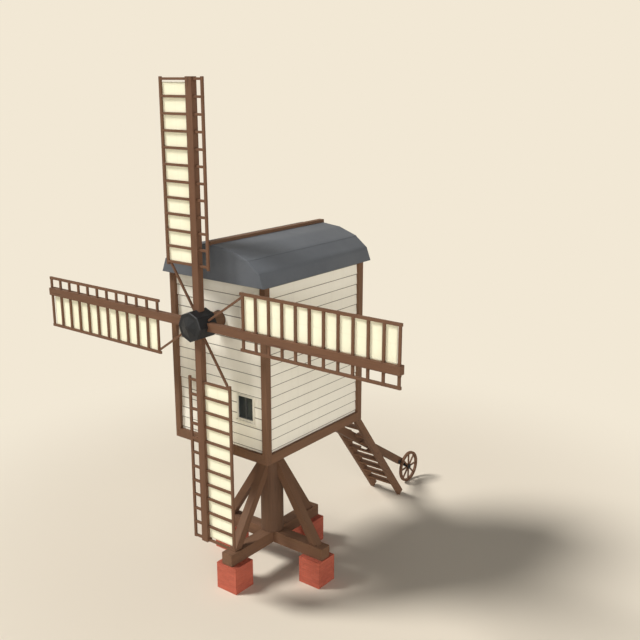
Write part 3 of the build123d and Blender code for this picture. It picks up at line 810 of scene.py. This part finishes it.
def finish_sails(top, label, finishes):
    """Copies a piece of the upright sail to the other three, and finishes all four."""
    for name, turn in SAIL_TURNS[1:]:
        other = copied(top, label + "_" + name, turned_about(shaft_centre, turn, "Y"))
        finish_piece(other, "rotor", finishes[name])
    finish_piece(top, "rotor", finishes["top"])


def wall_length(low, high, turn):
    return (high.y - low.y) if turn % 180 else (high.x - low.x)


# ---------------- weatherboards

def one_board(length):
    """A feather-edged board along X, its back on the plane y=0 and its lower edge at z=0."""
    board = block("board", (-length / 2, -BOARD_BUTT, 0), (length / 2, 0, BOARD_PITCH + BOARD_LAP))
    front = -BOARD_BUTT / 2
    shifted(board, lambda co: co.z > BOARD_PITCH and co.y < front, (0, BOARD_BUTT - BOARD_FEATHER, 0))
    shifted(board, lambda co: co.z < BOARD_LAP and co.y > front, (0, -BOARD_FEATHER, 0))
    bevelled(board, lambda co: co.z < BOARD_LAP and co.y < front, offset=0.004, segments=1)
    return board


def boarded(name, turn, seed):
    """Weatherboards over one wall, from the sill to the eaves."""
    low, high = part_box(name + "_wall")
    pattern = one_board(wall_length(low, high, turn))
    draw = random.Random(seed)
    rows = int((high.z - low.z - BOARD_FIRST) / BOARD_PITCH) + 1
    boards = []
    for row in range(-1, rows):
        move = Matrix.Translation((0, 0, low.z + BOARD_FIRST + row * BOARD_PITCH))
        boards.append(toned(copied(pattern, "board_row", move), draw))
    bpy.data.objects.remove(pattern)
    wall = joined("weatherboards_" + name, boards)
    for level, keep_above in ((low.z, True), (high.z, False)):
        pick(wall, "VERT", lambda v: True)
        bpy.ops.mesh.bisect(plane_co=(0, 0, level), plane_no=(0, 0, 1), use_fill=True,
                            clear_inner=keep_above, clear_outer=not keep_above)
        done_editing()
    face = {0: (0, low.y), 90: (high.x, mill_axis.y), 180: (0, high.y), 270: (low.x, mill_axis.y)}[turn]
    wall.rotation_euler = (0, 0, radians(turn))
    wall.location = (*face, 0)
    return settle(wall)


def grown(node):
    """A box round a node, grown along Y only enough to cut right through a wall."""
    low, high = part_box(node)
    through = Vector((0, CUT_THROUGH, 0))
    return block("cutter", low - through, high + through)


def make_boards():
    for number, (name, turn) in enumerate(WALL_TURNS):
        wall = boarded(name, turn, 11 + number)
        if name == "front":
            round_cutter = round_bar(48, shaft_radius + SHAFT_HOLE_ROOM, SHAFT_CUTTER,
                                     (0, body_low.y, shaft_centre.z), rotation=(pi / 2, 0, 0))
            cut_with(wall, grown("window_casing"), round_cutter)
        elif name == "rear":
            cut_with(wall, grown("door_casing"))
        finish_piece(wall, "buck", boards_y if turn % 180 else boards_x)


# ---------------- brick piers

def course_places(side):
    """Corners and turns of the stretchers round one course, from the pier's own corner."""
    places = []
    for i in range(4):
        places += [(i * BRICK_STEP, 0, False), (i * BRICK_STEP, side - BRICK_WIDTH, False)]
    for i in range(3):
        along = BRICK_INSET + i * BRICK_STEP
        places += [(0, along, True), (side - BRICK_WIDTH, along, True)]
    return places


def make_pier(name, seed, stretcher):
    low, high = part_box(name)
    quarter = turned_about((0, 0, 0), 90, "Z")
    next_course = turned_about(((low.x + high.x) / 2, (low.y + high.y) / 2, 0), 90, "Z")
    moves = []
    for course in range(BRICK_COURSES):
        level = low.z + course * COURSE + BED_JOINT
        for x, y, across in course_places(high.x - low.x):
            move = Matrix.Translation((low.x + x + BRICK_WIDTH * across, low.y + y, level))
            move = move @ quarter if across else move
            moves.append(next_course @ move if course % 2 else move)
    for i in range(3):
        for j in range(6):
            moves.append(Matrix.Translation((low.x + BRICK_INSET + i * BRICK_STEP,
                                             low.y + BRICK_INSET * (j + 1), high.z - COURSE + BED_JOINT)))
    draw = random.Random(seed)
    bricks = [toned(copied(stretcher, "brick", move), draw) for move in moves]
    pier = joined("brick_" + name, bricks)
    finish_piece(pier, "trestle", red_brick)
    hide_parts(name)
    behind = Vector((JOINT_RECESS, JOINT_RECESS, 0))
    bed = block("mortar_" + name, low + behind, high - behind - Vector((0, 0, JOINT_RECESS)))
    finish_piece(eased(bed, 0.003), "trestle", mortar)


def make_piers():
    stretcher = eased(block("brick", (0, 0, 0), (BRICK_LENGTH, BRICK_WIDTH, COURSE - BED_JOINT)), 0.004)
    for number, side in enumerate(("right", "rear", "left", "front")):
        make_pier("pier_" + side, 20 + number, stretcher)
    bpy.data.objects.remove(stretcher)


# ---------------- sailcloth

def make_cloths():
    """A stretched cloth behind the bars of each sail, bellied a little between bars."""
    low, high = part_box("sail_cloth_top")
    width, length = high.x - low.x, high.z - low.z
    middle = (low + high) / 2
    deselect()
    bpy.ops.mesh.primitive_grid_add(x_subdivisions=CLOTH_MESH[0], y_subdivisions=CLOTH_MESH[1],
                                    size=1, rotation=(pi / 2, 0, 0),
                                    location=(middle.x, low.y + CLOTH_THICKNESS, middle.z))
    pattern = bpy.context.object
    pattern.scale = (width, length, 1)
    settle(pattern)
    for vertex in pattern.data.vertices:
        bay = (vertex.co.z - low.z) / BAR_PITCH
        across = (vertex.co.x - low.x) / width
        if 0 < across < 1:
            vertex.co.y += CLOTH_SAG * sin(pi * (bay % 1.0)) ** 2 * sin(pi * across) ** 0.5
    hem = pattern.data.attributes.new("hem", "FLOAT", "FACE")
    for face in pattern.data.polygons:
        from_seam = abs(face.center.x - middle.x)
        from_side = width / 2 - from_seam
        from_end = min(face.center.z - low.z, high.z - face.center.z)
        hem.data[face.index].value = float(min(from_side, from_end, from_seam) < CLOTH_HEM / 2 + 0.003)
    modified(pattern, "SOLIDIFY", thickness=CLOTH_THICKNESS, offset=0)
    activate(pattern)
    bpy.ops.object.shade_smooth()
    for name, turn in SAIL_TURNS:
        cloth = copied(pattern, "sailcloth_" + name, turned_about(shaft_centre, turn, "Y"))
        finish_piece(cloth, "rotor", canvas)
        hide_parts("sail_cloth_" + name)
    bpy.data.objects.remove(pattern)


# ---------------- roofing felt

def felt_layer(number, from_level):
    """One layer of felt over the barrel of the roof and folded over its ends."""
    low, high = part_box("roof")
    proud = 0.002 + FELT_STEP * (number + 1)
    deselect()
    bpy.ops.mesh.primitive_cylinder_add(vertices=ROOF_FACETS, radius=1, depth=high.y - low.y + 2 * proud,
                                        location=(0, (low.y + high.y) / 2, low.z), rotation=(pi / 2, 0, 0))
    felt = bpy.context.object
    felt.name = "roofing_felt_%d" % number
    felt.scale = (high.x + proud, high.z - low.z + proud, 1)
    settle(felt)
    pick(felt, "EDGE", lambda e: (e.verts[0].co - e.verts[1].co).y ** 2 > 1)
    bpy.ops.mesh.bevel(offset=FELT_HOLD, segments=2, profile=1.0)
    done_editing()
    ends = (low.y - proud, high.y + proud)
    pick(felt, "EDGE", lambda e: any(all(abs(v.co.y - end) < HAIR for v in e.verts) for end in ends))
    bpy.ops.mesh.bevel(offset=0.005 + proud, segments=3)
    done_editing()
    pick(felt, "FACE", lambda f: len(f.verts) > 8)
    bpy.ops.mesh.inset(thickness=FELT_TURN_DOWN if number else FELT_END_INSET)
    if number:
        bpy.ops.mesh.delete(type="FACE")
    done_editing()
    pick(felt, "VERT", lambda v: True)
    bpy.ops.mesh.bisect(plane_co=(0, 0, low.z + from_level), plane_no=(0, 0, 1), clear_inner=True)
    done_editing()
    modified(felt, "SOLIDIFY", thickness=FELT_THICKNESS, offset=-1)
    activate(felt)
    bpy.ops.object.shade_smooth()
    pick(felt, "EDGE", lambda e: e.calc_length() > 0 and e.is_manifold and e.calc_face_angle() > 1.2)
    bpy.ops.mesh.mark_sharp()
    done_editing()
    finish_piece(felt, "buck", roof_felt)


# ---------------- nails, pegs and wedges

def rounded_head(radius, height, sides):
    """A low rounded head that stands up from the plane z=0."""
    head = round_bar(sides, radius, height, (0, 0, height / 2))
    bevelled(head, lambda co: co.z > 0.9 * height, offset=0.55 * height, segments=2)
    return head


def set_out(name, sizes, places, body, material):
    """Heads of one kind, each at its place and standing out along its direction."""
    pattern = rounded_head(*sizes)
    heads = []
    for place, outwards in places:
        turn = Vector((0, 0, 1)).rotation_difference(Vector(outwards)).to_matrix().to_4x4()
        heads.append(copied(pattern, "head", Matrix.Translation(place) @ turn))
    bpy.data.objects.remove(pattern)
    return finish_piece(joined(name, heads), body, material)


def nailed_boards(name, turn, blocked):
    """Places of the nails of one boarded wall, none of them in or close to an opening."""
    low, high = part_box(name + "_wall")
    columns = 9 if turn % 180 else 8
    half = wall_length(low, high, turn) / 2 - NAIL_END
    face = {0: mill_axis.y - low.y, 90: high.x, 180: high.y - mill_axis.y, 270: -low.x}[turn]
    taper = (BOARD_BUTT - BOARD_FEATHER) / (BOARD_PITCH + BOARD_LAP)
    reach = face + BOARD_BUTT - taper * NAIL_RISE - NAIL_SUNK
    spin = Matrix.Rotation(radians(turn), 4, "Z")
    places = []
    for row in range(int((high.z - low.z - BOARD_FIRST - NAIL_RISE) / BOARD_PITCH) + 1):
        level = low.z + BOARD_FIRST + row * BOARD_PITCH + NAIL_RISE
        for column in range(columns):
            across = -half + 2 * half * column / (columns - 1)
            place = Vector((0, mill_axis.y, 0)) + spin @ Vector((across, -reach, level))
            if not any(a.x - NAIL_CLEAR < place.x < b.x + NAIL_CLEAR and
                       a.z - NAIL_CLEAR < level < b.z + NAIL_CLEAR for a, b in blocked):
                places.append((place, spin @ Vector((0, -1, 0))))
    return places


def make_nails():
    hole = shaft_radius + SHAFT_HOLE_ROOM
    shaft_hole = (shaft_centre - Vector((hole, 0, hole)), shaft_centre + Vector((hole, 0, hole)))
    blocked = {"front": [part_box("window_casing"), shaft_hole], "rear": [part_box("door_casing")]}
    for name, turn in WALL_TURNS:
        set_out("board_nails_" + name, NAIL, nailed_boards(name, turn, blocked.get(name, [])),
                "buck", limed_nail)


def make_pegs():
    """Oak pegs through the joints of the buck and of the trestle."""
    places = []
    post = (body_high - body_low).x / 2 - HALF_POST
    levels = [body_low.z + rise for rise in PEGS_OVER_SILL]
    levels += [body_high.z - drop for drop in PEGS_UNDER_EAVES]
    for side in (-1, 1):
        for end, face in ((-1, body_low.y), (1, body_high.y)):
            for level in levels:
                places.append((Vector((side * post, face, level)), (0, end, 0)))
                places.append((Vector((side * body_high.x, face - end * HALF_POST, level)), (side, 0, 0)))
    set_out("frame_pegs", FRAME_PEG, places, "buck", peg_timber)
    places = []
    for node, along in (("crosstree_across", 0), ("crosstree_fore_and_aft", 1)):
        low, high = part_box(node)
        for end in (-1, 1):
            for step in (-PEG_APART, PEG_APART):
                for side, face in ((-1, low[1 - along]), (1, high[1 - along])):
                    place, outwards = Vector((0, 0, high.z - PEG_DEPTH)), Vector()
                    place[along] = (low[along] + high[along]) / 2 + end * (PEG_REACH + step)
                    place[1 - along] = face
                    outwards[1 - along] = side
                    places.append((place, outwards))
    set_out("trestle_pegs", TRESTLE_PEG, places, "trestle", peg_timber)


def make_wedges():
    """Oak wedges that hold the bars in the mortises of the stocks."""
    face = stock_high.x
    wedges = []
    for number in range(SAIL_BARS):
        level = HEEL_BAR + number * BAR_PITCH + SAIL_BAR_WIDTH / 2
        for side in (-1, 1):
            near, far = sorted((side * face, side * (face + WEDGE_LENGTH)))
            wedge = block("wedge", (near, BAR_MIDDLE - WEDGE_WIDTH / 2, level),
                          (far, BAR_MIDDLE + WEDGE_WIDTH / 2, level + WEDGE_DEPTH))
            half = WEDGE_DEPTH / 2
            shifted(wedge, lambda co: co.z > level + half and abs(co.x) < face + WEDGE_LENGTH / 2,
                    (0, 0, -half))
            wedges.append(wedge)
    finish_sails(eased(joined("bar_wedges_top", wedges), 0.002), "bar_wedges",
                 dict.fromkeys(lattice, peg_timber))


def make_rail_ends():
    """Ends of the rails that run on past the first and last bars of each sail."""
    half = Vector((SAIL_RAIL_WIDTH / 2, SAIL_BAR_DEPTH / 2, 0))
    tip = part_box("sail_frame_top")[1].z
    heel = HEEL_BAR - SAIL_HORN
    ends = []
    for rail in SAIL_RAILS:
        for start, stop in ((heel, heel - RAIL_END), (tip, stock_high.z)):
            end = block("rail_end", Vector((rail, BAR_MIDDLE, min(start, stop))) - half,
                        Vector((rail, BAR_MIDDLE, max(start, stop))) + half)
            bevelled(end, lambda co: abs(co.z - stop) < HAIR, offset=0.006, segments=2)
            ends.append(end)
    finish_sails(joined("rail_ends_top", ends), "rail_ends", lattice)


def longest_run(node):
    """Direction of the longest arris of a node."""
    shape = bmesh.new()
    shape.from_mesh(NODES[node].data)
    bmesh.ops.remove_doubles(shape, verts=shape.verts, dist=0.0001)
    arrises = [edge for edge in shape.edges if edge.calc_face_angle(0.0) > 0.5]
    start, end = max(arrises, key=lambda edge: edge.calc_length()).verts
    run = (end.co - start.co).normalized()
    shape.free()
    return run


def make_ladder_bolts():
    """A bolt through each stringer into each tread, and the bolts of the wheel's strap."""
    low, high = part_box("ladder_treads")
    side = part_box("ladder_stringers")[1].x
    count = round((high.z - low.z) / TREAD_RISE) + 1
    first = Vector((0, high.y - HALF_TREAD.y, low.z + HALF_TREAD.z))
    last = Vector((0, low.y + HALF_TREAD.y, high.z - HALF_TREAD.z))
    places = []
    for number in range(count):
        middle = first.lerp(last, number / (count - 1))
        for out in (-1, 1):
            places.append((middle + Vector((out * side, 0, 0)), (out, 0, 0)))
    set_out("ladder_bolts", TREAD_BOLT, places, "ladder", iron)
    run = longest_run("tail_pole")
    run = -run if run.y > 0 else run
    low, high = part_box("wheel_bracket")
    axle = Vector((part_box("tail_pole")[1].x + STRAP_THICKNESS, high.y - STRAP_RADIUS, low.z + STRAP_RADIUS))
    places = [(axle + run * reach, (1, 0, 0)) for reach in STRAP_BOLTS]
    set_out("strap_bolts", STRAP_BOLT, places, "buck", iron)


# ---------------- door and window fittings

def standing_out(sizes, place):
    """A head that stands out from the rear wall at its place."""
    head = rounded_head(*sizes)
    head.data.transform(Matrix.Translation(place) @ Matrix.Rotation(-pi / 2, 4, "X"))
    return head


def make_door():
    """Ledged door of upright boards with two strap hinges and a ring latch."""
    low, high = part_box("rear_door")
    draw = random.Random(31)
    pitch = (high.x - low.x) / DOOR_BOARDS
    face = high.y + DOOR_THICKNESS
    boards = []
    for number in range(DOOR_BOARDS):
        left = low.x + number * pitch
        board = block("door_board", (left + DOOR_GAP, high.y, low.z + 0.012),
                      (left + pitch - DOOR_GAP, face, high.z - 0.006))
        boards.append(toned(eased(board, 0.004, 2), draw))
    finish_piece(joined("door_boards", boards), "buck", boards_z)
    fittings = []
    strap_face = face + HINGE_THICKNESS
    for level in (low.z + HINGE_FROM_END, high.z - HINGE_FROM_END):
        strap = block("strap", (low.x + 0.01, face, level - HINGE_HALF_WIDTH),
                      (low.x + HINGE_REACH, strap_face, level + HINGE_HALF_WIDTH))
        pick(strap, "VERT", lambda v: v.co.x > low.x + HINGE_REACH / 2)
        bpy.ops.transform.resize(value=(1, 1, HINGE_TAPER))
        done_editing()
        knuckle = round_bar(16, 0.013, 0.09, (low.x + 0.006, face + 0.010, level))
        fittings += [eased(strap, 0.002, 2), eased(knuckle, 0.002, 2)]
        for reach in HINGE_RIVETS:
            fittings.append(standing_out(RIVET, (low.x + reach, strap_face, level)))
    latch = Vector((high.x - LATCH_FROM_EDGE, face, (low.z + high.z) / 2))
    plate = block("plate", latch + Vector((-0.030, 0, -0.085)), latch + Vector((0.030, 0.004, 0.085)))
    deselect()
    bpy.ops.mesh.primitive_torus_add(major_radius=LATCH_RING, minor_radius=0.006, major_segments=32,
                                     minor_segments=8, location=latch + Vector((0, 0.014, -LATCH_RING)),
                                     rotation=(pi / 2, 0, 0))
    ring = settle(bpy.context.object)
    boss = standing_out(LATCH_BOSS, latch + Vector((0, 0.003, 0)))
    fittings += [eased(plate, 0.0015, 2), ring, boss]
    finish_piece(joined("door_ironwork", fittings), "buck", iron)


def make_sill():
    """Weathered sill under the window, with a sloping top."""
    low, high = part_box("window_casing")
    sill = block("window_sill", (low.x - SILL_OVERHANG, low.y - SILL_DEPTH, low.z - SILL_THICKNESS),
                 (high.x + SILL_OVERHANG, low.y + 0.03, low.z))
    shifted(sill, lambda co: co.z > low.z - 0.01 and co.y < low.y, (0, 0, -SILL_FALL))
    finish_piece(eased(sill, 0.004, 2), "buck", cream)


make_boards()
make_piers()
make_cloths()
for number, level in enumerate(FELT_LAYERS):
    felt_layer(number, level)
make_nails()
make_pegs()
make_wedges()
make_ladder_bolts()
make_rail_ends()
make_door()
make_sill()
